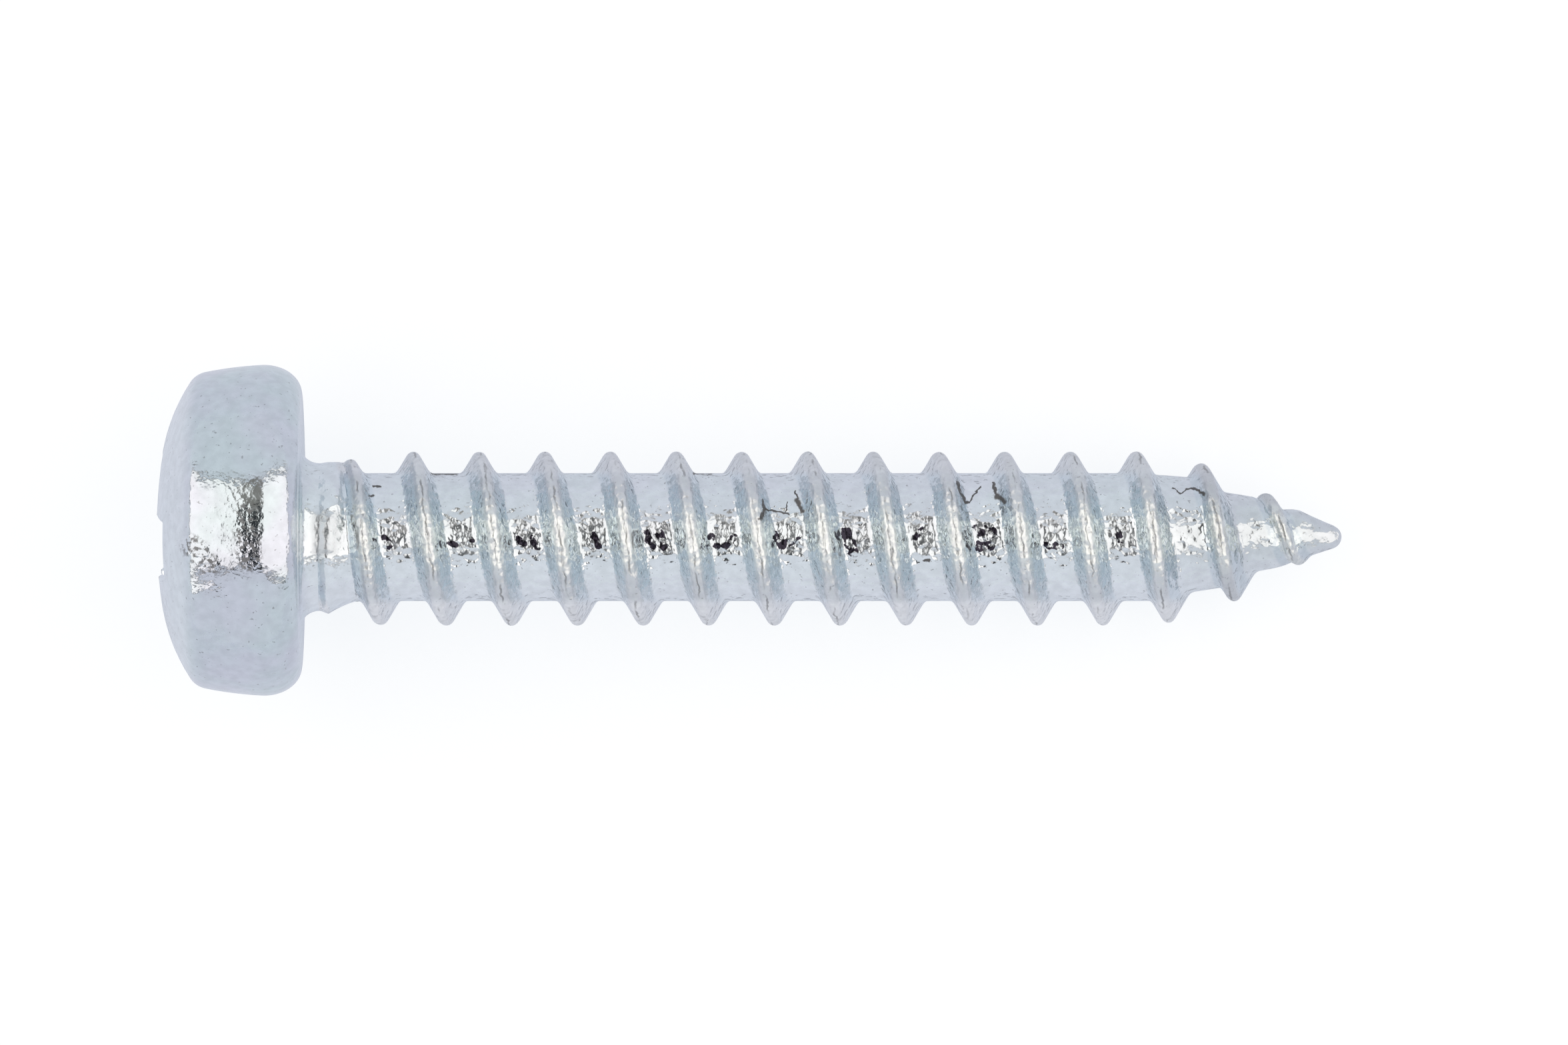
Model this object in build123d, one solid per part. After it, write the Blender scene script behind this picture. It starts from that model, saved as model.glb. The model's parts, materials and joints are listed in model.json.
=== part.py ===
# Pan head sheet metal screw, one solid piece, lying on a flat surface as it comes to rest.
# Sizes are in millimetres. The screw is drawn along +X from its head to its tip,
# with zero at the bearing face under the head, and it is laid down at the end.
import os
from math import acos, asin, atan2, cos, degrees, pi, radians, sin, sqrt, tan

from build123d import *

# Thread and shank
pitch = 25.4 / 24
major_diameter = 2.80
core_diameter = 2.06
crest_round = 0.10
flank_half_angle = 30.0
first_crest = 0.70
length_under_head = 16.71
neck_diameter = 2.38
neck_length = 0.40
neck_taper_length = 0.45
neck_fillet = 0.25
thread_begin = 0.20
run_in_length = 1.30
run_in_depth = 0.03

# Gimlet point
point_half_angle = 17.3
point_blend_radius = 3.0
point_tip_radius = 0.19
run_out_length = 1.75
run_out_power = 1.6
run_out_gap = 0.47

# Pan head
head_diameter = 5.33
head_height = 2.33
crown_radius = 8.2
crown_reach = 1.18
shoulder_radius = 3.0
corner_radius = 0.38
side_radius = 6.3
side_end_lean = 3.0
base_edge_round = 0.62
head_offset = 0.11

# Cross recess in the crown
recess_span = 3.00
recess_bottom_span = 1.27
recess_depth = 1.73
wing_width = 0.62
wing_draft = 5.5
recess_core_diameter = 0.94
recess_core_draft = 7.6
recess_cone_depth = 0.20
recess_roll = 6.0
recess_offset = -0.09

# How the thread is lofted: sections in one turn, the depth of its foot in the core,
# and how far past its fade-out its hidden end lies, as a share of the run-out
sections_per_turn = 20
foot_depth = 0.12
end_share = 0.0625

major_r = major_diameter / 2
core_r = core_diameter / 2
neck_r = neck_diameter / 2
head_r = head_diameter / 2
flank = radians(flank_half_angle)
point_angle = radians(point_half_angle)

# Distances of the point from the bearing face, worked back from the tip
nose_centre = length_under_head - point_tip_radius
nose_start = nose_centre + point_tip_radius * sin(point_angle)
cone_apex = nose_centre + point_tip_radius / sin(point_angle)
cone_corner = cone_apex - core_r / tan(point_angle)
blend_tangent = point_blend_radius * tan(point_angle / 2)
blend_start = cone_corner - blend_tangent
blend_end = cone_corner + blend_tangent * cos(point_angle)
thread_end = length_under_head - run_out_gap


def ease(t):
    # Runs smoothly from 0 to 1 while t runs from 0 to 1.
    t = min(max(t, 0.0), 1.0)
    return t * t * (3 - 2 * t)


def core_radius(s):
    # Radius of the shank without its thread, at distance s from the bearing face.
    if s < blend_start:
        taper = min(max((s - neck_length) / neck_taper_length, 0.0), 1.0)
        return neck_r + (core_r - neck_r) * taper
    if s < blend_end:
        return core_r - point_blend_radius + sqrt(point_blend_radius ** 2 - (s - blend_start) ** 2)
    return (cone_apex - s) * tan(point_angle)


def crest_radius(s):
    # Outer radius of the thread, which grows out of the neck and fades into the point.
    if s < blend_start:
        buried = neck_r - run_in_depth
        return buried + (major_r - buried) * ease((s - thread_begin / 2) / run_in_length)
    fade = max(1 + (s - thread_end) / run_out_length, 0)
    return core_radius(s) + (major_r - core_r) * (1 - fade ** run_out_power)


def thread_section(s):
    # The ridge cut by the half plane through the axis, where its crest is at distance s.
    turn = 2 * pi * (s - first_crest) / pitch
    crest = crest_radius(s)
    edge = crest - crest_round * (1 - sin(flank))
    edge_half = crest_round * cos(flank)
    foot = core_radius(s) - foot_depth
    foot_half = (crest + crest_round - foot) * tan(flank)
    outline = [(-foot_half, foot), (-edge_half, edge), (0, crest), (edge_half, edge), (foot_half, foot)]
    return Wire.make_polygon([(s + x, r * cos(turn), r * sin(turn)) for x, r in outline], close=True)


def make_thread():
    # It ends a little past the point where it has faded out, so its end is hidden in the core.
    length = thread_end + run_out_length * end_share - thread_begin
    count = round(length / pitch * sections_per_turn)
    return Solid.make_loft([thread_section(thread_begin + length * i / count) for i in range(count + 1)], True)


def make_shank():
    # Neck, core, blend and cone as one turned profile, ending in the rounded tip.
    hidden_s = -head_height / 4
    fillet_r = neck_r + neck_fillet
    fillet_in = neck_fillet * (1 - sqrt(0.5))
    blend_middle = (blend_start + blend_end) / 2
    nose_middle = (pi / 2 + point_angle) / 2
    with BuildSketch() as profile:
        with BuildLine():
            Line((length_under_head, 0), (hidden_s, 0))
            Line((hidden_s, 0), (hidden_s, fillet_r))
            Line((hidden_s, fillet_r), (0, fillet_r))
            ThreePointArc((0, fillet_r), (fillet_in, neck_r + fillet_in), (neck_fillet, neck_r))
            Polyline(
                (neck_fillet, neck_r),
                (neck_length, neck_r),
                (neck_length + neck_taper_length, core_r),
                (blend_start, core_r),
            )
            ThreePointArc(
                (blend_start, core_r),
                (blend_middle, core_radius(blend_middle)),
                (blend_end, core_radius(blend_end)),
            )
            Line((blend_end, core_radius(blend_end)), (nose_start, core_radius(nose_start)))
            ThreePointArc(
                (nose_start, core_radius(nose_start)),
                (nose_centre + point_tip_radius * sin(nose_middle), point_tip_radius * cos(nose_middle)),
                (length_under_head, 0),
            )
        make_face()
    return revolve(profile.sketch, Axis.X).solids()[0]


def arc_point(centre, radius, angle):
    # A point on the head's outline, where the outline leans by this angle from square.
    return Vector(centre.X - radius * cos(angle), centre.Y + radius * sin(angle))


def make_head():
    # Crown and shoulder are tangent arcs, and the crowned side meets both with rounded corners.
    crown_angle = asin(crown_reach / crown_radius)
    crown_centre = Vector(crown_radius - head_height, 0)
    shoulder_start = arc_point(crown_centre, crown_radius, crown_angle)
    shoulder_centre = arc_point(crown_centre, crown_radius - shoulder_radius, crown_angle)
    # The side arc is tangent to the base rounding where it leans by side_end_lean.
    base_centre = Vector(-base_edge_round, head_r - base_edge_round)
    side_centre = arc_point(base_centre, base_edge_round - side_radius, radians(90 - side_end_lean))
    side_foot = Vector(0, side_centre.Y + sqrt(side_radius ** 2 - side_centre.X ** 2))
    # Shoulder and side arcs cross at shoulder_end, by the law of cosines.
    across = shoulder_centre - side_centre
    opening = acos(
        (across.length ** 2 + side_radius ** 2 - shoulder_radius ** 2) / (2 * across.length * side_radius)
    )
    side_angle = pi - atan2(across.Y, across.X) - opening
    shoulder_end = arc_point(side_centre, side_radius, side_angle)
    end_angle = atan2(shoulder_end.Y - shoulder_centre.Y, shoulder_centre.X - shoulder_end.X)
    foot_angle = atan2(side_foot.Y - side_centre.Y, side_centre.X - side_foot.X)
    apex = Vector(-head_height, 0)
    profile = make_face(Wire([
        Edge.make_three_point_arc(
            apex, arc_point(crown_centre, crown_radius, crown_angle / 2), shoulder_start
        ),
        Edge.make_three_point_arc(
            shoulder_start,
            arc_point(shoulder_centre, shoulder_radius, (crown_angle + end_angle) / 2),
            shoulder_end,
        ),
        Edge.make_three_point_arc(
            shoulder_end, arc_point(side_centre, side_radius, (side_angle + foot_angle) / 2), side_foot
        ),
        Edge.make_line(side_foot, Vector(0, 0)),
        Edge.make_line(Vector(0, 0), apex),
    ]))
    corners = profile.vertices()
    profile = fillet(corners.sort_by_distance(shoulder_end)[0], corner_radius)
    profile = fillet(profile.vertices().sort_by_distance(side_foot)[0], base_edge_round)
    return Pos(0, head_offset, 0) * revolve(profile, Axis.X).solids()[0]


def rectangle(s, long_side, short_side):
    y = long_side / 2
    z = short_side / 2
    return Wire.make_polygon([(s, -y, -z), (s, y, -z), (s, y, z), (s, -y, z)], close=True)


def make_recess():
    # Two tapered wings crossed at right angles, their round core and its pointed bottom.
    above = recess_depth / 8
    floor = recess_depth - head_height
    mouth = -head_height - above
    climb = recess_depth + above
    span_slope = (recess_span - recess_bottom_span) / recess_depth
    mouth_span = recess_bottom_span + span_slope * climb
    mouth_width = wing_width + 2 * climb * tan(radians(wing_draft))
    wing = Solid.make_loft(
        [rectangle(floor, recess_bottom_span, wing_width), rectangle(mouth, mouth_span, mouth_width)], True
    )
    core_foot_r = recess_core_diameter / 2
    core_mouth_r = core_foot_r + climb * tan(radians(recess_core_draft))
    outward = Plane(origin=(floor, 0, 0), z_dir=(-1, 0, 0))
    inward = Plane(origin=(floor, 0, 0), z_dir=(1, 0, 0))
    core = Solid.make_cone(core_foot_r, core_mouth_r, climb, outward)
    tip = Solid.make_cone(core_foot_r, 0, recess_cone_depth, inward)
    cross = wing.fuse(Rot(90, 0, 0) * wing, core, tip)
    return Pos(0, recess_offset, 0) * Rot(recess_roll, 0, 0) * cross


def rest_tilt():
    # Angle at which the lying screw touches the floor with its head's edge and one thread crest.
    edge_s = -base_edge_round
    edge_r = head_r - base_edge_round
    tilts = []
    # The crest faces the floor three quarters of a turn after it faces +Y.
    crest_s = first_crest + 3 * pitch / 4
    while crest_s < thread_end:
        crest_r = crest_radius(crest_s) - crest_round
        apart = sqrt((crest_s - edge_s) ** 2 + (edge_r - crest_r) ** 2)
        lean = atan2(edge_r - crest_r, crest_s - edge_s)
        tilts.append(degrees(lean + asin((base_edge_round - crest_round) / apart)))
        crest_s += pitch
    return min(tilts)


def make_screw():
    shank = make_shank().fuse(make_thread())
    screw = shank.fuse(make_head()).cut(make_recess())
    laid = Rot(0, rest_tilt(), 0) * screw.solids()[0]
    box = laid.bounding_box()
    middle = box.center()
    return Pos(-middle.X, -middle.Y, -box.min.Z) * laid


screw = make_screw()
screw.label = "screw"
os.makedirs("parts", exist_ok=True)
export_step(screw, "parts/screw.step")
print("tilt", round(rest_tilt(), 3), "volume", round(screw.volume, 3), "valid", screw.is_valid)
print("box", screw.bounding_box())
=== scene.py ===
import json
from math import acos, asin, atan, atan2, copysign, cos, hypot, pi, radians, sin, sqrt, tan

import bmesh
import bpy
from mathutils import Matrix, Vector, noise


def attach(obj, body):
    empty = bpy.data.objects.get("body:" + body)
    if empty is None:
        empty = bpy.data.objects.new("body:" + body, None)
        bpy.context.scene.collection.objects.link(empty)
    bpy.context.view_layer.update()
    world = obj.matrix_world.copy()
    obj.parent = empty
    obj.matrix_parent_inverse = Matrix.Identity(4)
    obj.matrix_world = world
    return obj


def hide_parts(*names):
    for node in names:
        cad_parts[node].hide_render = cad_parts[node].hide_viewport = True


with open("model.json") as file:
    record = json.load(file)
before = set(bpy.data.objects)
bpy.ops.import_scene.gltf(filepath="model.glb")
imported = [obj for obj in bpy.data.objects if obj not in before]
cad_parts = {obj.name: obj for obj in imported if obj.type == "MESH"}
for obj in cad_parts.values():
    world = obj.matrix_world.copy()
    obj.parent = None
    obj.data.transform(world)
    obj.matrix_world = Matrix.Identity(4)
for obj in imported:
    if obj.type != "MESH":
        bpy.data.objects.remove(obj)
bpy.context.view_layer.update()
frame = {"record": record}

MM = 0.001

# Sizes of the screw in millimetres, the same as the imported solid's, with 24 threads to the inch.
# Places along the axis are measured from its bearing face and grow towards the point.
PITCH = 25.4 / 24
MAJOR_R = 1.40
CORE_R = 1.03
CREST_ROUND = 0.10
FLANK = radians(30.0)
FIRST_CREST = 0.70
THREAD_BEGIN = 0.20
RUN_IN = 1.30
RUN_IN_DEPTH = 0.03
LENGTH = 16.71
THREAD_END = LENGTH - 0.47
RUN_OUT = 1.75
RUN_OUT_POWER = 1.6
POINT_ANGLE = radians(17.3)
POINT_BLEND = 3.0
TIP_R = 0.19
NECK_R = 1.19
NECK_LENGTH = 0.40
NECK_TAPER = 0.45
NECK_FILLET = 0.25
HEAD_R = 5.33 / 2
HEAD_HEIGHT = 2.33
HEAD_OFFSET = 0.11
CROWN_RADIUS = 8.2
CROWN_REACH = 1.18
SHOULDER_RADIUS = 3.0
CORNER_RADIUS = 0.38
SIDE_RADIUS = 6.3
SIDE_END_LEAN = radians(3.0)
RECESS_HALF_SPAN = 1.27 / 2
RECESS_SPAN_SLOPE = 0.5
RECESS_DEPTH = 1.73
WING_HALF_WIDTH = 0.62 / 2
WING_DRAFT = radians(5.5)
RECESS_CORE_R = 0.94 / 2
RECESS_CORE_DRAFT = radians(7.6)
RECESS_CONE = 0.20
RECESS_OFFSET = -0.09

# What the photo shows beyond the solid, none of it more than a tenth of a millimetre from it: the
# place of the head and the rounding of its base, the neck's swelling, where the thread stands out
# or begins late, the lands near the point, and the low swelling of the point
HEAD_SHIFT = -0.040
BASE_ROUND = 0.60
BASE_ROUND_HEIGHT = 0.45
MOUTH_ROUND = 0.05
NECK_SWELL = 0.045
NECK_SWELL_LOSS = 0.6
NECK_LAG = 0.20
NECK_FALL_CURVE = 0.4
THREAD_OFFSET = -0.025
FIRST_LAG = 0.045
FIRST_LAG_TURNS = 0.45
ROOT_FILLET = 0.11
FULL_FILLET_HEIGHT = 0.15
LEAST_THREAD = 0.02
LAND_FLATTENING = 0.5
LAND_EASE = 0.25
LAND_END = 16.1
LAND_END_EASE = 0.6
POINT_LAG = -0.07
POINT_LAG_START = 13.0
POINT_LAG_EASE = 1.5
POINT_LAG_END = 16.0
NOSE_BULGE = 0.045
NOSE_BULGE_LEAN = 0.75
NOSE_BULGE_FADE = 1.5
BULGE_START = 15.55
BULGE_TOP = 16.05

# Unevenness of the rolled crest: two layers, and how fast they change along the axis and around it
WEAR = 0.012
FINE_WEAR = 0.006
WEAR_ALONG = 1.3
WEAR_AROUND = 2.1
FINER = 3.7

# Detail of the mesh: columns round the axis, and the steps in each stretch of the outline
AROUND = 120
HALF_STEPS = [
    0.0, 0.022, 0.044, 0.066, 0.088, 0.13, 0.18, 0.22,
    0.245, 0.262, 0.278, 0.294, 0.32, 0.36, 0.41, 0.47,
]
SPARE_TURNS = 3
NOSE_BEGIN = 16.40
NOSE_STEPS = 3
TIP_STEPS = 8
FILLET_STEPS = 8
BASE_STEPS = 18
SIDE_STEPS = 8
CORNER_STEPS = 9
SHOULDER_STEPS = 3
CROWN_EDGE_R = 1.95
END_COLUMNS = 3
WALL_COLUMNS = 7
RECESS_ROLL_COLUMNS = 2
FLOOR_SHARES = (0.0, 0.25, 0.5, 0.75, 0.93)
WALL_STEPS = 6
MOUTH_STEPS = 5
MORPH_STEPS = 12
MOUTH_PASSES = 12
PLACE_DIGITS = 7
WELD = 2e-7
SHARP_ANGLE = radians(38)

# The helix coordinate across the thread counts in pitches from the crest line: this is a land's middle
LAND_MIDDLE = 0.5

NOSE_CENTRE = LENGTH - TIP_R
NOSE_START = NOSE_CENTRE + TIP_R * sin(POINT_ANGLE)
CONE_APEX = NOSE_CENTRE + TIP_R / sin(POINT_ANGLE)
CONE_CORNER = CONE_APEX - CORE_R / tan(POINT_ANGLE)
BLEND_TANGENT = POINT_BLEND * tan(POINT_ANGLE / 2)
BLEND_START = CONE_CORNER - BLEND_TANGENT
BLEND_END = CONE_CORNER + BLEND_TANGENT * cos(POINT_ANGLE)
RECESS_FLOOR = RECESS_DEPTH - HEAD_HEIGHT
RECESS_ROLL = 2 * pi * RECESS_ROLL_COLUMNS / AROUND

# Studio in metres: a dark gap straight above, a softbox at each side of it, and the camera
GAP_HEIGHT = 0.42
GAP_LEFT = -0.105
GAP_RIGHT = 0.037
GAP_Y = 0.035
SOFTBOX_TOP = GAP_HEIGHT + 0.005
SOFTBOX_FOOT = 0.09
SOFTBOX_REACH = 0.50
SOFTBOX_DEPTH = 0.47
HOUSING_RIM = 0.028
HOUSING_GAP = 0.004
HOUSING_REACH = SOFTBOX_DEPTH / 2 + HOUSING_RIM
STAND_END = 0.13
FLOOR_HALF = 2.0
LAMP_COLOUR = (1.0, 0.96, 0.94)
LAMP_RADIANCE = 1.27
PANEL_COLOUR = (0.030, 0.042, 0.052, 1)
CARD_COLOUR = (0.62, 0.62, 0.60, 1)
WORLD_COLOUR = (0.74, 0.77, 0.83, 1)
FLOOR_BASE = (0.30, 0.27, 0.24, 1)
FLOOR_GLOW = (0.755, 0.790, 0.825, 1)
FLOOR_IN_METAL = (0.45, 0.50, 0.60, 1)
MATT = 0.9
CAMERA_DISTANCE = 0.25
CAMERA_X = 0.580 * MM
CAMERA_Y = 0.125 * MM
CLIP_START = 0.01
SENSOR_WIDTH = 36
SUBJECT_HEIGHT = 0.0022
PHOTO_WIDTH_PX = 2352
PX_PER_MM = 93.24
FRAME_WIDTH = PHOTO_WIDTH_PX / PX_PER_MM * MM

# Colours of the plating: clouds of two tints, the paler shank and crown, painted reflection on the
# flanks, the crest's
# # painted highlight seen from above and its grey seen from its side, painted glints, painted shade and
# reflection on the thread's outline, dirt, and patches of painted dark reflection
LILAC = (0.695, 0.715, 0.775, 1)
GREENISH = (0.665, 0.745, 0.758, 1)
PALE = (0.846, 0.884, 0.896, 1)
FLANK_REFLECTION = (0.667, 0.741, 0.786, 1)
CREST_HIGHLIGHT = (0.860, 0.880, 0.835, 1)
CREST_SIDE = (0.640, 0.655, 0.665, 1)
GLINT = (0.900, 0.960, 0.930, 1)
OUTER_PALE_REFLECTION = (0.900, 0.885, 0.865, 1)
OUTER_TOP_SHADE = (0.740, 0.735, 0.735, 1)
DIRT = (0.160, 0.155, 0.150, 1)
PAINTED_DARK_REFLECTION = (0.045, 0.040, 0.055, 1)

# Zones of the screw in millimetres, each edge from where it begins to where it is complete: along
# the axis, over it, and across it
CROWN_ZONE = (-1.95, -1.65)
SHANK_ZONE = (-0.20, 0.20)
ROLLED_ZONE = (0.60, 1.00)
NECK_ZONE_START = (0.10, 0.20)
NECK_ZONE_END = (0.50, 0.70)
POINT_ZONE = (13.5, 14.8)
UPPER_ZONE = (0.0, 0.2)
BOTH_SIDES = (-1.0, 1.0)
OUTER_SIDES = (-0.5, 0.5)
FACING_EDGE = (0.95, 1.12)
CREST_SIDE_EDGE = (0.30, 0.70)
MIDDLE = 0.05
MIDDLE_EDGE = (0.28, 0.42)
GLINT_EDGE = (0.18, 0.34)

# Zones of the thread, in pitches from its crest line
SEAM_EDGE = (0.006, 0.020)
CREST_EDGE = (0.07, 0.14)
FLANK_TOP = (0.08, 0.12)
FLANK_FOOT = (0.22, 0.27)
LAND_EDGE = (0.24, 0.30)

# Noises: lumps to the millimetre and detail, then the range of the noise that makes the change
NOISE_MIDDLE = 0.5
UNEVEN_NOISE = (9.0, 2.0)
LUMP_NOISE = (6.0, 2.0)
WAVE_NOISE = (1.3, 0.0)
SCUFF_NOISE = (13.0, 2.0)
GRAIN_NOISE = (24.0, 1.0)
SEAM_NOISE = (5.0, 3.0)
SEAM_BREAKS = (2.3, 2.0)
SEAM_BREAK_RANGE = (0.46, 0.60)
SCRATCH_NOISE = (14.0, 3.0)
SCRATCH_RANGE = (0.48, 0.60)
SPECK_NOISE = (15.0, 2.0)
SPECK_RANGE = (0.67, 0.74)
RAGGED_NOISE = (9.0, 3.0)
CLOUD_NOISE = (0.8, 3.0)
CLOUD_RANGE = (0.35, 0.65)
GLINT_NOISE = (12.0, 2.0)
GLINT_RANGE = (0.42, 0.62)
FLECK_NOISE = (12.0, 3.0)
FLECK_RANGE = (0.42, 0.54)
MOTTLE_NOISE = (6.0, 4.0)
MOTTLE_RANGE = (0.25, 0.75)
POLISH_NOISE = (5.0, 3.0)
POLISH_RANGE = (0.3, 0.7)

# Relief of the plating: heights in millimetres, the cells between its grains, and its pits
LUMP_HEAD = 0.004
LUMP_NECK = 0.007
LUMP_ROLLED = 0.015
WAVE = 0.045
GRAIN = 0.0014
SCUFF_HEIGHT = 0.010
BUMP_HEIGHT = 0.027
SEAM_DEPTH = 0.010
SEAM_WANDER = 0.12
CELLS = 8.0
CELL_SMOOTHNESS = 0.25
CELL_SHARE = 0.8
PIT_CELLS = 4.0
PIT_CHOICE = 0.80
PIT_EDGE = (0.04, 0.09)

# Strength of each part of the look
MARK_UNEVENNESS = 0.10
STROKE_CORE = 0.4
SEAM_DIRT = 0.55
PIT_DIRT = 0.40
SCRATCH_DIRT = 0.85
SPECK_DIRT = 0.45
PATCH_SHARE = 0.75
RAGGED_SHARE = 0.9
PATCH_RANGE = (1.12, 1.20)
LEAST_PALE = 0.55
CROWN_PALE = 0.8
FLANK_SHARE = 0.7
GLINT_SHARE = 0.7
FLECK_SHARE = 0.65
RIDGE_SHARE = 0.7
OUTER_SHARE = 0.6
MOTTLE_SHADES = (0.93, 1.05)
POINT_SHADE = 0.92
NECK_SHADE = 0.88
BAND_SHADE = 0.95
POLISH = (0.10, 0.16)
CREST_ROUGH = 0.16
SHANK_ROUGH = 0.03
NECK_ROUGH = 0.12
BAND_ROUGH = 0.06
DIRT_ROUGH = 0.5

# Marks on the side towards the camera, each from one place to another: distance from the bearing
# face and place across for both ends, then how far the mark reaches to each side
SCUFFS = [(-1.70, -0.15, -1.45, -0.45, 0.26), (-0.86, 0.35, -0.80, -0.35, 0.28)]
BUMPS = [(-1.85, -1.20, -1.50, -1.20, 0.55)]
STROKES = [
    (2.08, 1.03, 2.46, 1.03, 0.045),
    (6.28, 1.03, 6.56, 1.03, 0.033),
    (7.39, 0.60, 7.42, 0.44, 0.033),
    (7.42, 0.44, 7.36, 0.30, 0.045),
    (7.42, 0.44, 7.80, 0.37, 0.021),
    (7.80, 0.58, 7.75, 0.40, 0.012),
    (7.92, 0.73, 7.94, 0.60, 0.024),
    (7.94, 0.60, 8.03, 0.42, 0.051),
    (10.52, 0.88, 10.56, 0.70, 0.033),
    (10.56, 0.70, 10.64, 0.56, 0.033),
    (10.64, 0.56, 10.72, 0.56, 0.024),
    (10.72, 0.56, 10.78, 0.68, 0.018),
    (10.78, 0.68, 10.89, 0.81, 0.021),
    (11.10, 0.86, 11.14, 0.67, 0.030),
    (11.14, 0.67, 11.26, 0.58, 0.060),
    (13.97, 0.79, 14.11, 0.69, 0.018),
    (14.11, 0.69, 14.20, 0.77, 0.018),
    (14.20, 0.77, 14.35, 0.78, 0.027),
    (14.35, 0.78, 14.47, 0.69, 0.033),
    (1.14, 0.82, 1.24, 0.81, 0.024),
    (1.08, 0.67, 1.13, 0.67, 0.027),
    (9.99, -0.39, 10.05, -0.38, 0.030),
]

# Places on the lands' middle band where a dark reflection is painted, given in the same way
DARK_REFLECTION_PATCHES = [
    (1.33, -0.03, 1.42, -0.13, 0.12),
    (2.36, -0.10, 2.47, -0.13, 0.09),
    (2.66, 0.00, 2.74, -0.05, 0.08),
    (3.48, -0.03, 3.57, -0.10, 0.10),
    (3.71, -0.02, 3.78, -0.18, 0.10),
    (4.68, 0.03, 4.77, -0.15, 0.09),
    (5.50, 0.08, 5.62, -0.14, 0.13),
    (5.74, 0.06, 5.82, -0.14, 0.13),
    (6.56, 0.02, 6.66, -0.14, 0.12),
    (6.78, -0.14, 6.93, 0.00, 0.12),
    (7.60, 0.03, 7.72, -0.14, 0.12),
    (7.80, -0.10, 7.96, 0.00, 0.11),
    (8.73, 0.06, 8.84, -0.24, 0.19),
    (9.84, 0.00, 10.00, 0.16, 0.09),
    (10.86, 0.12, 11.06, 0.08, 0.19),
    (10.88, -0.14, 11.04, -0.14, 0.16),
    (11.95, -0.13, 12.18, -0.15, 0.10),
    (13.06, 0.14, 13.14, -0.06, 0.11),
]


def mount(name):
    return next(m for m in frame["record"]["mounts"] if m["name"] == name)


def placing():
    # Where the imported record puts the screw: its axis, and the middle of its bearing face.
    along = Vector(mount("bearing_face")["axis"]).normalized()
    face = mount("bearing_face")["pos_m"]
    across = Vector((0, 1, 0))
    up = along.cross(across)
    place = Matrix((along, across, up)).transposed().to_4x4()
    place.translation = Vector((face[0], mount("thread")["pos_m"][1], face[2]))
    return place @ Matrix.Scale(MM, 4)


def ease(t):
    t = min(max(t, 0.0), 1.0)
    return t * t * (3 - 2 * t)


def core_radius(s):
    if s < BLEND_START:
        return NECK_R + (CORE_R - NECK_R) * ease((s - NECK_LENGTH) / NECK_TAPER)
    if s < BLEND_END:
        return CORE_R - POINT_BLEND + sqrt(POINT_BLEND ** 2 - (s - BLEND_START) ** 2)
    return max(CONE_APEX - s, 0) * tan(POINT_ANGLE)


def neck_radius(s, turn):
    # The neck swells a little before it tapers, and reaches further where the thread begins.
    late = (1 + cos(turn)) / 2
    end = NECK_LENGTH + NECK_LAG * late * late
    swell = NECK_SWELL * (1 - NECK_SWELL_LOSS * late)
    swell *= ease((s - NECK_FILLET) / (NECK_LENGTH - NECK_FILLET))
    t = min(max((s - end) / (NECK_LENGTH + NECK_TAPER - end), 0), 1)
    fall = t * (1 + NECK_FALL_CURVE - NECK_FALL_CURVE * t)
    return (NECK_R + swell) * (1 - fall) + CORE_R * fall


def nose_bulge(s, turn):
    # Past the end of the thread the point keeps a low swelling, higher on one side.
    height = NOSE_BULGE * (1 + NOSE_BULGE_LEAN * cos(turn))
    fall = min(max((s - BULGE_TOP) / (LENGTH - BULGE_TOP), 0), 1)
    return height * ease((s - BULGE_START) / (BULGE_TOP - BULGE_START)) * (1 - fall) ** NOSE_BULGE_FADE


def land_radius(s, turn, across):
    # On the point each land tapers less than the cone, and the rest of the drop is under the thread.
    from_middle = across - copysign(PITCH / 2, across)
    flattening = LAND_FLATTENING * from_middle * ease(abs(across) / LAND_EASE)
    flattened = s - flattening * ease((LAND_END - s) / LAND_END_EASE)
    lag = POINT_LAG * ease((s - POINT_LAG_START) / POINT_LAG_EASE) * ease(POINT_LAG_END - s)
    return core_radius(flattened + lag) + nose_bulge(s, turn)


def crest_radius(s):
    if s < BLEND_START:
        buried = NECK_R - RUN_IN_DEPTH
        return buried + (MAJOR_R - buried) * ease((s - THREAD_BEGIN / 2) / RUN_IN)
    fade = max(1 + (s - THREAD_END) / RUN_OUT, 0)
    return core_radius(s) + (MAJOR_R - CORE_R) * (1 - fade ** RUN_OUT_POWER)


def smooth_max(a, b, k):
    # The larger of two, with a rounded corner of about size k where they meet.
    h = max(k - abs(a - b), 0.0) / k
    return max(a, b) + h * h * k / 4


def ridge_radius(across, crest):
    # The thread's outline at this distance from its crest line.
    u = abs(across)
    if u < CREST_ROUND * cos(FLANK):
        return crest - CREST_ROUND + sqrt(CREST_ROUND ** 2 - u * u)
    return crest + CREST_ROUND - u / tan(FLANK)


def worn(s, turn):
    p = Vector((s * WEAR_ALONG, cos(turn) * WEAR_AROUND, sin(turn) * WEAR_AROUND))
    return WEAR * noise.noise(p) + FINE_WEAR * noise.noise(p * FINER)


def shank_radius(s, turn, across):
    # The shank's surface at this place, this far from the thread's crest line.
    crest_s = s - across
    crest = crest_radius(crest_s)
    if crest > core_radius(crest_s) + LEAST_THREAD:
        crest += worn(crest_s, turn) + THREAD_OFFSET * cos(turn)
    core = neck_radius(s, turn) if s < NECK_LENGTH + NECK_TAPER else land_radius(s, turn, across)
    fillet = ROOT_FILLET * min(max(crest - core, LEAST_THREAD) / FULL_FILLET_HEIGHT, 1)
    return smooth_max(core, ridge_radius(across, crest), fillet)


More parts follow.
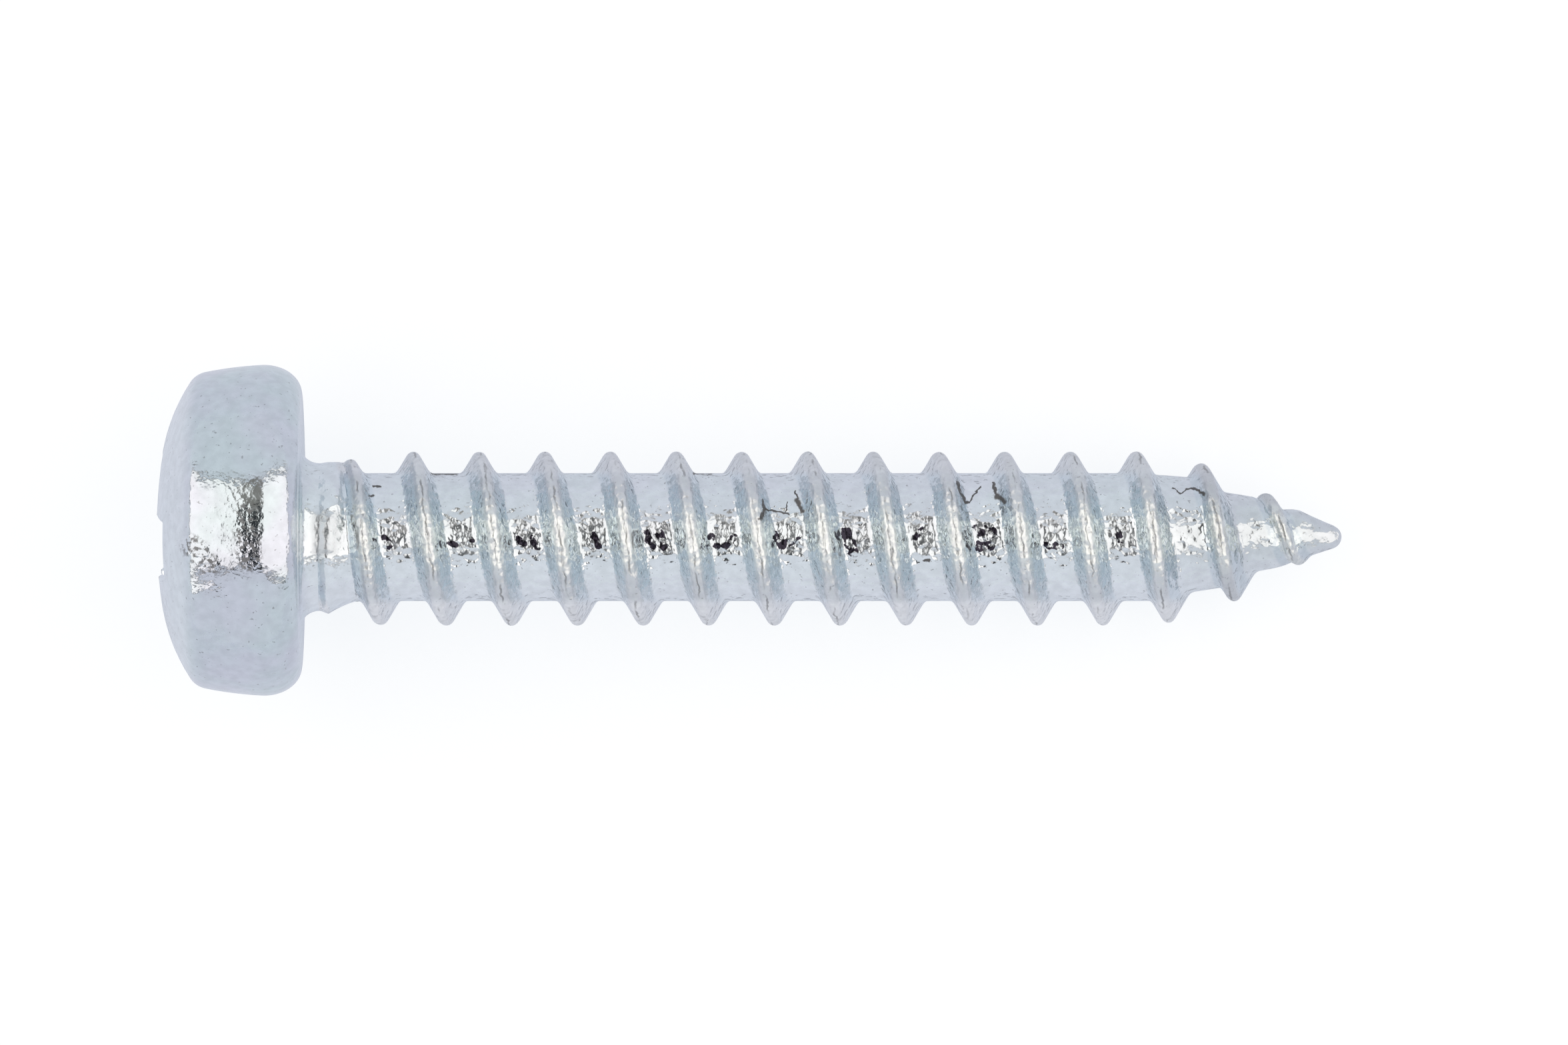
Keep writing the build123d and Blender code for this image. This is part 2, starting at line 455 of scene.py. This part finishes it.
def crest_line(turns):
    # Where the crest lies along the axis, this many turns from its first pass over +Y.
    return FIRST_CREST + PITCH * turns + FIRST_LAG * (1 - ease(turns / FIRST_LAG_TURNS))


def across_steps():
    # Distances from the crest line at which the thread is sampled, closer where it bends.
    return [-u for u in reversed(HALF_STEPS[1:])] + HALF_STEPS + [PITCH / 2]


class Skin:
    # Collects the points, faces and helix coordinates of the mesh.
    def __init__(self):
        self.points = []
        self.faces = []
        self.uvs = []

    def ring(self, s, radius, centre_y=0.0, extra=None):
        first = len(self.points)
        for j in range(AROUND):
            turn = 2 * pi * j / AROUND
            r = radius + extra(s, turn) if extra else radius
            self.points.append((s, centre_y + r * cos(turn), r * sin(turn)))
        return list(range(first, first + AROUND))

    def join(self, a, b):
        # Faces between two rings, away from the thread.
        for j in range(AROUND):
            k = (j + 1) % AROUND
            self.faces.append((a[j], a[k], b[k], b[j]))
            low = (j / AROUND, LAND_MIDDLE)
            high = ((j + 1) / AROUND, LAND_MIDDLE)
            self.uvs.append((low, high, high, low))


def arc_outline(centre, radius, start, end, count):
    # Points on the head's outline from one lean angle to another, the first left out.
    return [
        (centre[0] - radius * cos(start + (end - start) * i / count),
         centre[1] + radius * sin(start + (end - start) * i / count))
        for i in range(1, count + 1)
    ]


def shoulder_centre():
    # The shoulder arc is tangent to the crown arc where the crown ends.
    crown_angle = asin(CROWN_REACH / CROWN_RADIUS)
    hub = CROWN_RADIUS - SHOULDER_RADIUS
    return CROWN_RADIUS - HEAD_HEIGHT - hub * cos(crown_angle), hub * sin(crown_angle)


def crown_s(radius):
    # Where the crown or the shoulder lies along the axis, at this radius from the head's axis.
    if radius < CROWN_REACH:
        return CROWN_RADIUS - HEAD_HEIGHT - sqrt(CROWN_RADIUS ** 2 - radius ** 2)
    centre = shoulder_centre()
    return centre[0] - sqrt(SHOULDER_RADIUS ** 2 - (radius - centre[1]) ** 2)


def base_outline():
    # The rounding at the head's base, from the side down to the bearing face.
    centre = (-BASE_ROUND, HEAD_R - BASE_ROUND_HEIGHT)
    start = pi / 2 - atan(BASE_ROUND / BASE_ROUND_HEIGHT * tan(SIDE_END_LEAN))
    turns = [start + (pi - start) * i / BASE_STEPS for i in range(BASE_STEPS + 1)]
    return [(centre[0] - BASE_ROUND * cos(a), centre[1] + BASE_ROUND_HEIGHT * sin(a)) for a in turns]


def head_outline():
    # Shoulder from the crown's edge, corner, crowned side and base rounding, as distance and radius.
    shoulder = shoulder_centre()
    base_arc = base_outline()
    # The side arc is tangent to the base rounding where it starts.
    side_end = pi / 2 - SIDE_END_LEAN
    side = (base_arc[0][0] + SIDE_RADIUS * cos(side_end), base_arc[0][1] - SIDE_RADIUS * sin(side_end))
    # The corner arc touches the shoulder arc and the side arc from inside.
    shoulder_hub = SHOULDER_RADIUS - CORNER_RADIUS
    side_hub = SIDE_RADIUS - CORNER_RADIUS
    apart = hypot(side[0] - shoulder[0], side[1] - shoulder[1])
    toward = atan2(shoulder[1] - side[1], shoulder[0] - side[0])
    opening = acos((apart ** 2 + side_hub ** 2 - shoulder_hub ** 2) / (2 * apart * side_hub))
    direction = toward + opening
    corner = (side[0] + side_hub * cos(direction), side[1] + side_hub * sin(direction))
    corner_start = atan2(corner[1] - shoulder[1], shoulder[0] - corner[0])
    side_start = atan2(corner[1] - side[1], side[0] - corner[0])
    shoulder_start = asin((CROWN_EDGE_R - shoulder[1]) / SHOULDER_RADIUS)
    outline = [(crown_s(CROWN_EDGE_R), CROWN_EDGE_R)]
    outline += arc_outline(shoulder, SHOULDER_RADIUS, shoulder_start, corner_start, SHOULDER_STEPS)
    outline += arc_outline(corner, CORNER_RADIUS, corner_start, side_start, CORNER_STEPS)
    outline += arc_outline(side, SIDE_RADIUS, side_start, side_end, SIDE_STEPS)
    outline += base_arc[1:]
    return outline


def wall_point(column, height):
    # A point on the recess wall in the recess's own axes, at this height over its floor.
    quarter = AROUND // 4
    place = column % quarter
    half_way = min(place, quarter - place)
    half_span = RECESS_HALF_SPAN + height * RECESS_SPAN_SLOPE
    half_width = WING_HALF_WIDTH + height * tan(WING_DRAFT)
    core = RECESS_CORE_R + height * tan(RECESS_CORE_DRAFT)
    meet = sqrt(core ** 2 - half_width ** 2)
    if half_way <= END_COLUMNS:
        x, y = half_span, half_width * half_way / END_COLUMNS
    elif half_way <= END_COLUMNS + WALL_COLUMNS:
        t = (half_way - END_COLUMNS) / WALL_COLUMNS
        x, y = half_span + (meet - half_span) * t, half_width
    else:
        corner = atan2(half_width, meet)
        left = quarter / 2 - END_COLUMNS - WALL_COLUMNS
        angle = corner + (pi / 4 - corner) * (half_way - END_COLUMNS - WALL_COLUMNS) / left
        x, y = core * cos(angle), core * sin(angle)
    if place > quarter - place:
        x, y = y, x
    turn = column // quarter * pi / 2
    return Vector((x * cos(turn) - y * sin(turn), x * sin(turn) + y * cos(turn)))


def recess_spot(flat, s):
    # A place in the recess's own axes, at this distance along the screw.
    y = RECESS_OFFSET + flat.x * cos(RECESS_ROLL) - flat.y * sin(RECESS_ROLL)
    z = flat.x * sin(RECESS_ROLL) + flat.y * cos(RECESS_ROLL)
    return (s, y, z)


def crown_spot(flat):
    # The crown over that place.
    _, y, z = recess_spot(flat, 0)
    return recess_spot(flat, crown_s(sqrt((y - HEAD_OFFSET) ** 2 + z * z)))


def mouth_height(column):
    # How high over the recess floor its wall meets the crown.
    height = RECESS_DEPTH
    for _ in range(MOUTH_PASSES):
        height = RECESS_FLOOR - crown_spot(wall_point(column, height))[0]
    return height


def recess_column(column):
    # From the middle of the recess floor, up the wall and over its rounded mouth to the crown's edge.
    mouth = mouth_height(column)
    foot = wall_point(column, 0)
    points = []
    for share in FLOOR_SHARES:
        flat = foot * share
        deeper = RECESS_CONE * max(1 - flat.length / RECESS_CORE_R, 0)
        points.append(recess_spot(flat, RECESS_FLOOR + deeper))
    for i in range(WALL_STEPS + 1):
        height = (mouth - MOUTH_ROUND) * i / WALL_STEPS
        points.append(recess_spot(wall_point(column, height), RECESS_FLOOR - height))
    lip = wall_point(column, mouth)
    around = (wall_point(column + 1, mouth) - wall_point(column - 1, mouth)).normalized()
    outside = lip + Vector((around.y, -around.x)) * MOUTH_ROUND
    bend = (points[-1], recess_spot(lip, RECESS_FLOOR - mouth), crown_spot(outside))
    for i in range(1, MOUTH_STEPS):
        t = i / MOUTH_STEPS
        weights = ((1 - t) ** 2, 2 * t * (1 - t), t * t)
        points.append(tuple(sum(w * p[n] for w, p in zip(weights, bend)) for n in range(3)))
    points.append(bend[2])
    angle = 2 * pi * column / AROUND
    shift = Vector((HEAD_OFFSET - RECESS_OFFSET, 0))
    shift.rotate(Matrix.Rotation(-RECESS_ROLL, 2))
    rim = shift + Vector((CROWN_EDGE_R * cos(angle), CROWN_EDGE_R * sin(angle)))
    for i in range(1, MORPH_STEPS):
        points.append(crown_spot(outside.lerp(rim, i / MORPH_STEPS)))
    return points


def add_head(skin):
    columns = [recess_column(j) for j in range(AROUND)]
    last = None
    for level in range(len(columns[0])):
        first = len(skin.points)
        skin.points += [columns[(j - RECESS_ROLL_COLUMNS) % AROUND][level] for j in range(AROUND)]
        ring = list(range(first, first + AROUND))
        if last:
            skin.join(last, ring)
        last = ring
    for s, r in head_outline():
        ring = skin.ring(s, r, HEAD_OFFSET)
        skin.join(last, ring)
        last = ring
    skin.points = [(s + HEAD_SHIFT, y, z) for s, y, z in skin.points]
    return last


def add_neck(skin, rim):
    # The flat bearing face, then the fillet that turns into the neck.
    last = rim
    for i in range(FILLET_STEPS + 1):
        angle = pi / 2 * i / FILLET_STEPS
        s = HEAD_SHIFT + (NECK_FILLET - HEAD_SHIFT) * (1 - cos(angle))
        ring = skin.ring(s, NECK_R + NECK_FILLET * (1 - sin(angle)))
        skin.join(last, ring)
        last = ring
    return last


def add_thread(skin):
    # A grid that follows the helix: its columns go round, its rows lie across the thread.
    steps = across_steps()
    per_turn = len(steps)
    first_turn = int((NECK_FILLET - FIRST_CREST) / PITCH) - SPARE_TURNS
    last_turn = int((NOSE_BEGIN - FIRST_CREST) / PITCH) + SPARE_TURNS
    rows = (last_turn - first_turn) * per_turn
    ids = {}
    spots = {}
    for j in range(AROUND):
        turn = 2 * pi * j / AROUND
        for k in range(rows + 1):
            row_turn = first_turn + k // per_turn
            across = steps[k % per_turn]
            crest_s = crest_line(row_turn + turn / (2 * pi))
            s = min(max(crest_s + across, NECK_FILLET), NOSE_BEGIN)
            key = (j, round(s, PLACE_DIGITS))
            if key not in spots:
                r = shank_radius(s, turn, s - crest_s)
                spots[key] = len(skin.points)
                skin.points.append((s, r * cos(turn), r * sin(turn)))
            ids[j, k] = spots[key]
    for j in range(AROUND):
        for k in range(rows):
            nj, nk = (j + 1, k) if j + 1 < AROUND else (0, k + per_turn)
            if nk + 1 > rows:
                continue
            corners = [ids[j, k], ids[nj, nk], ids[nj, nk + 1], ids[j, k + 1]]
            across0 = steps[k % per_turn] / PITCH
            across1 = steps[(k + 1) % per_turn] / PITCH
            if across1 < across0:
                across0 = -LAND_MIDDLE
            uv = [(j / AROUND, across0), ((j + 1) / AROUND, across0),
                  ((j + 1) / AROUND, across1), (j / AROUND, across1)]
            kept = [n for n in range(4) if corners[n] not in corners[:n]]
            if len(kept) > 2:
                skin.faces.append(tuple(corners[n] for n in kept))
                skin.uvs.append(tuple(uv[n] for n in kept))
    first = [spots[j, round(NECK_FILLET, PLACE_DIGITS)] for j in range(AROUND)]
    last = [spots[j, round(NOSE_BEGIN, PLACE_DIGITS)] for j in range(AROUND)]
    return first, last


def add_nose(skin, last):
    # The cone past the end of the thread, then the round tip.
    for i in range(1, NOSE_STEPS + 1):
        s = NOSE_BEGIN + (NOSE_START - NOSE_BEGIN) * i / NOSE_STEPS
        ring = skin.ring(s, core_radius(s), extra=nose_bulge)
        skin.join(last, ring)
        last = ring
    lean = pi / 2 - POINT_ANGLE
    for i in range(1, TIP_STEPS + 1):
        angle = lean - lean * i / TIP_STEPS
        ring = skin.ring(NOSE_CENTRE + TIP_R * cos(angle), TIP_R * sin(angle))
        skin.join(last, ring)
        last = ring


def make_screw():
    # One continuous skin, with the thread's own coordinates in the UV layer "helix".
    skin = Skin()
    rim = add_head(skin)
    fillet_end = add_neck(skin, rim)
    first, last = add_thread(skin)
    skin.join(fillet_end, first)
    add_nose(skin, last)
    place = placing()
    mesh = bpy.data.meshes.new("screw_body")
    mesh.from_pydata([place @ Vector(p) for p in skin.points], [], skin.faces)
    layer = mesh.uv_layers.new(name="helix")
    layer.data.foreach_set("uv", [c for uv in skin.uvs for pair in uv for c in pair])
    tidy = bmesh.new()
    tidy.from_mesh(mesh)
    bmesh.ops.remove_doubles(tidy, verts=tidy.verts, dist=WELD)
    bmesh.ops.recalc_face_normals(tidy, faces=tidy.faces)
    tidy.to_mesh(mesh)
    tidy.free()
    mesh.polygons.foreach_set("use_smooth", [True] * len(mesh.polygons))
    mesh.set_sharp_from_angle(angle=SHARP_ANGLE)
    screw = bpy.data.objects.new("screw_body", mesh)
    bpy.context.collection.objects.link(screw)
    return screw


class Nodes:
    # Short ways to add shader nodes to one material.
    WHOLE = (0.0, 1.0)
    MIX_A = 6
    MIX_B = 7
    MIX_RESULT = 2

    def __init__(self, name):
        self.material = bpy.data.materials.new(name)
        self.material.use_nodes = True
        self.tree = self.material.node_tree
        self.shader = self.tree.nodes["Principled BSDF"]

    def add(self, kind, *values, **settings):
        node = self.tree.nodes.new("ShaderNode" + kind)
        for key, value in settings.items():
            setattr(node, key, value)
        for socket, value in zip(node.inputs, values):
            self.put(value, socket)
        return node

    def put(self, value, socket):
        if isinstance(value, bpy.types.NodeSocket):
            self.tree.links.new(value, socket)
        else:
            socket.default_value = value

    def vector(self, operation, *values):
        return self.add("VectorMath", *values, operation=operation).outputs[0]

    def dot(self, a, b):
        return self.add("VectorMath", a, b, operation="DOT_PRODUCT").outputs["Value"]

    def scale(self, vector, factor):
        node = self.add("VectorMath", vector, operation="SCALE")
        self.put(factor, node.inputs["Scale"])
        return node.outputs[0]

    def math(self, operation, first, *others):
        # The operation from left to right over all the values.
        if not others:
            return self.add("Math", first, operation=operation).outputs[0]
        for value in others:
            first = self.add("Math", first, value, operation=operation).outputs[0]
        return first

    def times(self, *values):
        return self.math("MULTIPLY", *values)

    def plus(self, *values):
        return self.math("ADD", *values)

    def minus(self, a, b):
        return self.math("SUBTRACT", a, b)

    def most(self, *values):
        return self.math("MAXIMUM", *values)

    def size(self, value):
        return self.math("ABSOLUTE", value)

    def step(self, value, edge, to_low=0.0, to_high=1.0):
        # A smooth ramp that reaches to_low at the edge's low end and to_high at its high end.
        node = self.add("MapRange", value, *edge, to_low, to_high, interpolation_type="SMOOTHSTEP")
        return node.outputs[0]

    def fall(self, value, edge):
        return self.step(value, edge, 1.0, 0.0)

    def mix(self, share, a, b):
        node = self.add("Mix", data_type="RGBA")
        self.put(share, node.inputs["Factor"])
        self.put(a, node.inputs[self.MIX_A])
        self.put(b, node.inputs[self.MIX_B])
        return node.outputs[self.MIX_RESULT]


class Zinc(Nodes):
    # The plating's coordinates in millimetres, and the zones of the screw from 0 to 1.
    def __init__(self):
        super().__init__("zinc_plated_steel")
        position = self.add("TexCoord").outputs["Object"]
        self.spot = self.scale(position, 1 / MM)
        rows = placing().inverted()[:3]
        self.along, self.side, self.up = (self.plus(self.dot(position, tuple(r[:3])), r[3]) for r in rows)
        helix = self.add("UVMap", uv_map="helix").outputs[0]
        self.across = self.add("SeparateXYZ", helix).outputs["Y"]

        self.shank = self.step(self.along, SHANK_ZONE)
        self.rolled = self.step(self.along, ROLLED_ZONE)
        self.crown = self.fall(self.along, CROWN_ZONE)
        self.upper = self.step(self.up, UPPER_ZONE)
        self.facing = self.fall(self.size(self.side), FACING_EDGE)
        self.from_middle = self.size(self.minus(self.side, MIDDLE))
        self.from_crest = self.size(self.across)
        self.crest = self.fall(self.from_crest, CREST_EDGE)
        self.thread = self.fall(self.from_crest, FLANK_FOOT)
        self.flank = self.times(self.step(self.from_crest, FLANK_TOP), self.thread)

        # The middle band of the lands, and of the drawn neck, which are rougher and darkened with painted
        # shade.
        middle = self.fall(self.from_middle, MIDDLE_EDGE)
        self.band = self.times(self.rolled, self.step(self.from_crest, LAND_EDGE), middle)
        neck_begins = self.step(self.along, NECK_ZONE_START)
        self.drawn = self.times(neck_begins, self.fall(self.along, NECK_ZONE_END), middle)

        # Distance and place across for the marks, which have uneven edges.
        uneven = self.vector("SUBTRACT", self.noise(*UNEVEN_NOISE, "Color"), (NOISE_MIDDLE,) * 3)
        uneven = self.vector("MULTIPLY", uneven, (MARK_UNEVENNESS, MARK_UNEVENNESS, 0.0))
        flat = self.add("CombineXYZ", self.along, self.side).outputs[0]
        self.flat = self.vector("ADD", flat, uneven)

    def noise(self, scale, detail, output="Fac"):
        # Fractal noise from 0 to 1, with this many lumps to the millimetre.
        node = self.add("TexNoise", self.spot)
        node.inputs["Scale"].default_value = scale
        node.inputs["Detail"].default_value = detail
        return node.outputs[output]

    def marks(self, strokes):
        # 1 on any of these strokes, 0 away from them, and only on the upper side.
        inside = 0.0
        for s0, y0, s1, y1, reach in strokes:
            run = Vector((s1 - s0, y1 - y0, 0))
            offset = self.vector("SUBTRACT", self.flat, (s0, y0, 0))
            along = self.dot(offset, tuple(run))
            share = self.add("Math", along, 1 / run.length_squared, operation="MULTIPLY", use_clamp=True)
            nearest = self.scale(tuple(run), share.outputs[0])
            distance = self.add("VectorMath", offset, nearest, operation="DISTANCE").outputs["Value"]
            inside = self.most(inside, self.fall(distance, (STROKE_CORE * reach, reach)))
        return self.times(inside, self.upper)


def crest_seam(n):
    # A dark seam winds along the middle of the crest, where the two flanks were folded together.
    wander = n.times(n.minus(n.noise(*SEAM_NOISE), NOISE_MIDDLE), SEAM_WANDER)
    from_seam = n.size(n.plus(n.across, wander))
    return n.times(n.fall(from_seam, SEAM_EDGE), n.step(n.noise(*SEAM_BREAKS), SEAM_BREAK_RANGE))


def relief(n, seam, scuffed):
    # Lumps and grains, waves of the rolling, scuffs, a raised spot, fine grain and the seam's groove.
    lump_size = n.plus(LUMP_HEAD, n.times(n.shank, LUMP_NECK), n.times(n.rolled, LUMP_ROLLED))
    cells = n.add("TexVoronoi", n.spot, feature="SMOOTH_F1")
    cells.inputs["Scale"].default_value = CELLS
    cells.inputs["Smoothness"].default_value = CELL_SMOOTHNESS
    lumps = n.plus(n.noise(*LUMP_NOISE), n.times(cells.outputs["Distance"], CELL_SHARE))
    waves = n.times(n.shank, WAVE, n.noise(*WAVE_NOISE))
    scuffs = n.times(scuffed, SCUFF_HEIGHT, n.noise(*SCUFF_NOISE))
    grain = n.times(GRAIN, n.noise(*GRAIN_NOISE))
    bumps = n.times(n.marks(BUMPS), BUMP_HEIGHT)
    height = n.plus(n.times(lump_size, lumps), waves, scuffs, grain, bumps)
    return n.minus(height, n.times(seam, SEAM_DEPTH))


def dirt(n, seam, scuffed):
    # Dirt in the seam, the cracks and gouges, the pits, the scuffs' scratches and fine specks.
    cells = n.add("TexVoronoi", n.spot, feature="F1")
    cells.inputs["Scale"].default_value = PIT_CELLS
    chance = n.add("SeparateColor", cells.outputs["Color"]).outputs[0]
    chosen = n.math("GREATER_THAN", chance, PIT_CHOICE)
    pits = n.times(n.fall(cells.outputs["Distance"], PIT_EDGE), chosen)
    scratches = n.times(scuffed, n.step(n.noise(*SCRATCH_NOISE), SCRATCH_RANGE))
    specks = n.step(n.noise(*SPECK_NOISE), SPECK_RANGE)
    return n.most(
        n.times(seam, SEAM_DIRT),
        n.marks(STROKES),
        n.times(pits, PIT_DIRT),
        n.times(scratches, SCRATCH_DIRT),
        n.times(specks, SPECK_DIRT),
    )


def painted_dark_reflections(n):
    # Patches of painted dark reflection on the lands' middle band, with ragged edges and bright grains
    # left in them.
    ragged = n.times(n.noise(*RAGGED_NOISE), RAGGED_SHARE)
    return n.step(n.plus(n.times(n.marks(DARK_REFLECTION_PATCHES), PATCH_SHARE), ragged), PATCH_RANGE)


def tint_with_painted_light(n):
    # Clouds of two tints, then the paler crown and shank, the shank palest towards -Y with painted
    # reflection.
    tint = n.mix(n.step(n.noise(*CLOUD_NOISE), CLOUD_RANGE), LILAC, GREENISH)
    pale_shank_and_reflection = n.times(n.shank, n.step(n.side, BOTH_SIDES, 1.0, LEAST_PALE))
    tint = n.mix(n.most(pale_shank_and_reflection, n.times(n.crown, CROWN_PALE)), tint, PALE)
    # The thread towards the camera: painted reflection on its flanks, painted glints on them, and the
    # worn crest's painted highlight broken by grey flecks.
    tint = n.mix(n.times(n.flank, n.facing, FLANK_SHARE), tint, FLANK_REFLECTION)
    painted_glints = n.step(n.noise(*GLINT_NOISE), GLINT_RANGE, 0.0, GLINT_SHARE)
    tint = n.mix(n.times(n.flank, n.fall(n.from_middle, GLINT_EDGE), painted_glints), tint, GLINT)
    flecks = n.step(n.noise(*FLECK_NOISE), FLECK_RANGE, FLECK_SHARE, 0.0)
    painted_crest_light = n.mix(n.most(flecks, n.step(n.size(n.side), CREST_SIDE_EDGE)), CREST_HIGHLIGHT, CREST_SIDE)
    tint = n.mix(n.times(n.crest, n.facing, RIDGE_SHARE), tint, painted_crest_light)
    # The thread where it turns away at the sides: painted shade towards +Y, paler painted reflection
    # towards -Y.
    outer = n.mix(n.step(n.side, OUTER_SIDES), OUTER_PALE_REFLECTION, OUTER_TOP_SHADE)
    return n.mix(n.times(n.thread, n.minus(1.0, n.facing), OUTER_SHARE), tint, outer)


def brightness(n):
    # Mottled, and with painted shade a little darker near the point and in the middle bands, dimming
    # their highlights.
    return n.times(
        n.step(n.noise(*MOTTLE_NOISE), MOTTLE_RANGE, *MOTTLE_SHADES),
        n.step(n.along, POINT_ZONE, 1.0, POINT_SHADE),
        n.step(n.drawn, n.WHOLE, 1.0, NECK_SHADE),
        n.step(n.band, n.WHOLE, 1.0, BAND_SHADE),
    )


def roughness(n, dirty):
    clean = n.plus(
        n.step(n.noise(*POLISH_NOISE), POLISH_RANGE, *POLISH),
        n.times(n.crest, CREST_ROUGH),
        n.times(n.shank, SHANK_ROUGH),
        n.times(n.drawn, NECK_ROUGH),
        n.times(n.band, BAND_ROUGH),
    )
    return n.most(clean, n.times(dirty, DIRT_ROUGH))


def zinc():
    # Zinc plating: hammered by the rolling dies, mottled, worn along the crest, with small marks, and
    # with painted highlights, reflections and shade.
    n = Zinc()
    seam = crest_seam(n)
    scuffed = n.marks(SCUFFS)
    dirty = dirt(n, seam, scuffed)
    # The tint carries painted reflections, highlights and glints, and the brightness carries painted
    # shade.
    metal = n.scale(tint_with_painted_light(n), brightness(n))
    # Over the dirt, patches of painted dark reflection on the lands' middle band.
    colour = n.mix(painted_dark_reflections(n), n.mix(dirty, metal, DIRT), PAINTED_DARK_REFLECTION)
    n.put(colour, n.shader.inputs["Base Color"])
    n.put(roughness(n, dirty), n.shader.inputs["Roughness"])
    n.shader.inputs["Metallic"].default_value = 1.0
    bump = n.add("Bump")
    bump.inputs["Distance"].default_value = MM
    n.put(relief(n, seam, scuffed), bump.inputs["Height"])
    n.put(bump.outputs[0], n.shader.inputs["Normal"])
    return n.material


def studio():
    # The camera and the lamps lean with the screw, so that it is seen square from its side.
    along = Vector(mount("bearing_face")["axis"])
    return Matrix.Rotation(atan2(-along.z, along.x), 4, "Y")


def make_floor():
    # A pale floor that looks white to the camera and in the metal, and keeps a faint shadow.
    corners = [(x * FLOOR_HALF, y * FLOOR_HALF, 0) for x, y in ((-1, -1), (1, -1), (1, 1), (-1, 1))]
    mesh = bpy.data.meshes.new("floor")
    mesh.from_pydata(corners, [], [(0, 1, 2, 3)])
    floor = bpy.data.objects.new("floor", mesh)
    bpy.context.collection.objects.link(floor)
    n = Nodes("floor")
    n.shader.inputs["Base Color"].default_value = FLOOR_BASE
    n.shader.inputs["Roughness"].default_value = MATT
    n.shader.inputs["Specular IOR Level"].default_value = 0.0
    path = n.add("LightPath").outputs
    glow = n.mix(path["Is Glossy Ray"], FLOOR_GLOW, FLOOR_IN_METAL)
    n.put(glow, n.shader.inputs["Emission Color"])
    seen = n.most(path["Is Camera Ray"], path["Is Glossy Ray"], path["Is Transmission Ray"])
    n.put(seen, n.shader.inputs["Emission Strength"])
    mesh.materials.append(n.material)


def panel(name, inner, outer, low, high, colour):
    # A plain sheet in the studio, between two edges that are each given as X and Z.
    places = ((inner, low), (outer, low), (outer, high), (inner, high))
    corners = [(edge[0], y, edge[1]) for edge, y in places]
    mesh = bpy.data.meshes.new(name)
    mesh.from_pydata(corners, [], [(0, 1, 2, 3)])
    sheet = bpy.data.objects.new(name, mesh)
    sheet.matrix_world = studio()
    bpy.context.collection.objects.link(sheet)
    n = Nodes(name)
    n.shader.inputs["Base Color"].default_value = colour
    n.shader.inputs["Roughness"].default_value = MATT
    mesh.materials.append(n.material)
    sheet.visible_camera = False


def softbox(name, inner, outer):
    # An area lamp facing the screw, from its inner edge to its outer one, in a dark housing.
    run = Vector((outer[0] - inner[0], outer[1] - inner[1]))
    side = copysign(1, run.x)
    data = bpy.data.lights.new(name, "AREA")
    data.shape = "RECTANGLE"
    data.size = run.length
    data.size_y = SOFTBOX_DEPTH
    data.color = LAMP_COLOUR
    data.energy = LAMP_RADIANCE * pi * run.length * SOFTBOX_DEPTH
    lamp = bpy.data.objects.new(name, data)
    middle = Vector(((inner[0] + outer[0]) / 2, GAP_Y, (inner[1] + outer[1]) / 2))
    lean = side * atan2(-run.y, abs(run.x))
    lamp.matrix_world = studio() @ Matrix.Translation(middle) @ Matrix.Rotation(lean, 4, "Y")
    bpy.context.collection.objects.link(lamp)
    rim = run.normalized() * HOUSING_RIM
    back_inner = Vector((inner[0], inner[1] + HOUSING_GAP)) - rim
    back_outer = Vector((outer[0], outer[1] + HOUSING_GAP)) + rim
    low = GAP_Y - HOUSING_REACH
    high = GAP_Y + HOUSING_REACH
    panel(name + "_housing", back_inner, back_outer, low, high, PANEL_COLOUR)


def make_studio():
    # A softbox at each side of the gap, and in the gap the camera's dark stand and a grey card.
    softbox("softbox_left", (GAP_LEFT, SOFTBOX_TOP), (-SOFTBOX_REACH, SOFTBOX_FOOT))
    softbox("softbox_right", (GAP_RIGHT, SOFTBOX_TOP), (SOFTBOX_REACH, SOFTBOX_FOOT))
    left = (GAP_LEFT, GAP_HEIGHT)
    right = (GAP_RIGHT, GAP_HEIGHT)
    panel("camera_stand", left, right, GAP_Y - HOUSING_REACH, STAND_END, PANEL_COLOUR)
    panel("grey_card", left, right, STAND_END, GAP_Y + HOUSING_REACH, CARD_COLOUR)


def make_world():
    world = bpy.data.worlds.new("studio")
    bpy.context.scene.world = world
    world.use_nodes = True
    background = world.node_tree.nodes["Background"]
    background.inputs["Color"].default_value = WORLD_COLOUR
    background.inputs["Strength"].default_value = 1.0


def make_camera():
    # Square above the screw's axis, framed as the photo.
    data = bpy.data.cameras.new("camera")
    camera = bpy.data.objects.new("camera", data)
    bpy.context.collection.objects.link(camera)
    data.sensor_width = SENSOR_WIDTH
    data.lens = SENSOR_WIDTH * CAMERA_DISTANCE / FRAME_WIDTH
    data.clip_start = CLIP_START
    middle = Matrix.Translation((CAMERA_X, CAMERA_Y, SUBJECT_HEIGHT))
    camera.matrix_world = middle @ studio() @ Matrix.Translation((0, 0, CAMERA_DISTANCE))
    bpy.context.scene.camera = camera


screw = make_screw()
screw.data.materials.append(zinc())
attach(screw, "root")
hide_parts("screw")
make_floor()
make_world()
make_studio()
make_camera()
bpy.context.scene.view_settings.view_transform = "Standard"
